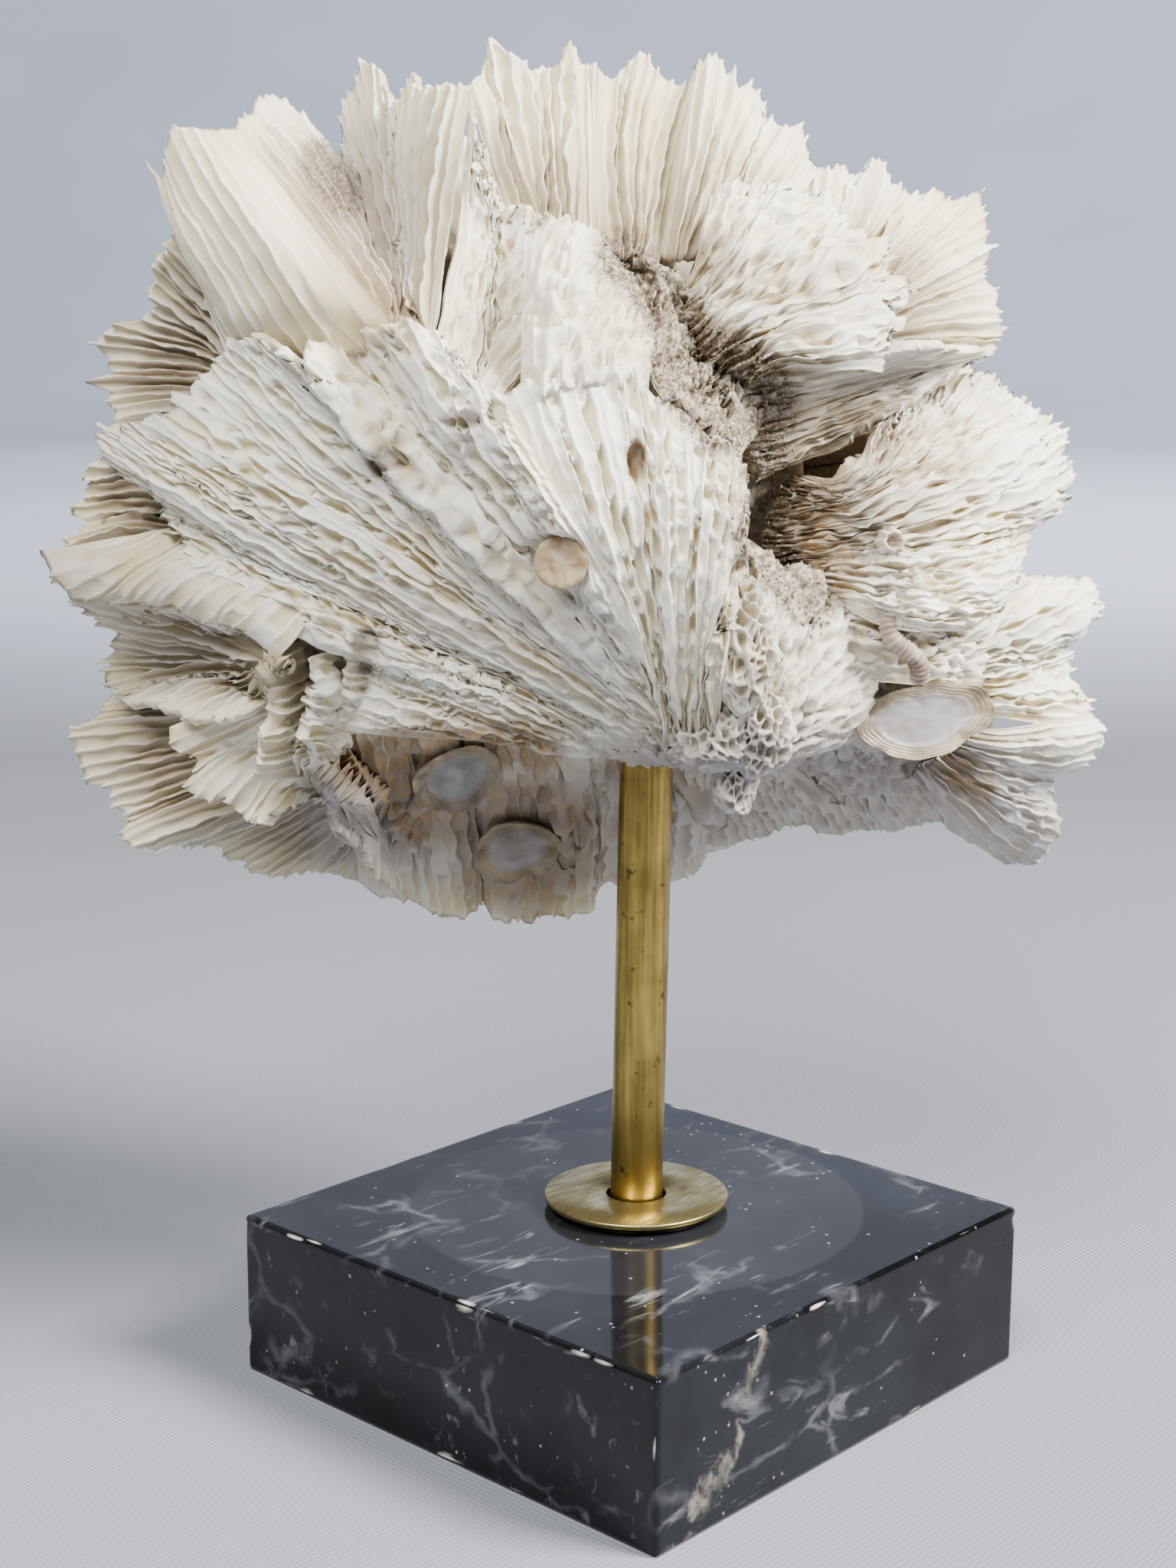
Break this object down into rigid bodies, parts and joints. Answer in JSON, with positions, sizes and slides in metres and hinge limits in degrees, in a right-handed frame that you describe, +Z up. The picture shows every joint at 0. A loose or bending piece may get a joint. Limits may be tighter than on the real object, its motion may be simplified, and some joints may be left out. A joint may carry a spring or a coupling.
{
  "type": "mushroom coral on a brass stem and marble base",
  "caption": "Ruffled stony coral of thin fluted leaves and deep valleys, mounted on a brass stem with a round collar over a square polished black marble block.",
  "frame": {"origin": "centre of the marble block's underside, where the whole stands", "axes": "+Z up; X and Y along the marble block's sides; the coral's show side faces about 43 degrees round from -Y towards +X"},
  "size_m": [0.1574, 0.1515, 0.2358],
  "materials": {
    "coral": "matte",
    "oyster_shell": "satin",
    "barnacle": "matte",
    "worm_tube": "matte",
    "brass": "satin, aged",
    "glue": "dull",
    "marble": "polished"
  },
  "bodies": {
    "root": {"coral": "coral", "oyster_left": "oyster_shell", "oyster_lower": "oyster_shell", "oyster_right": "oyster_shell", "barnacle_plate": "barnacle", "barnacle": "barnacle", "worm_tube": "worm_tube", "brass_stem": "brass", "brass_collar": "brass", "glue_pad": "glue", "marble_base": "marble"}
  },
  "joints": []
}
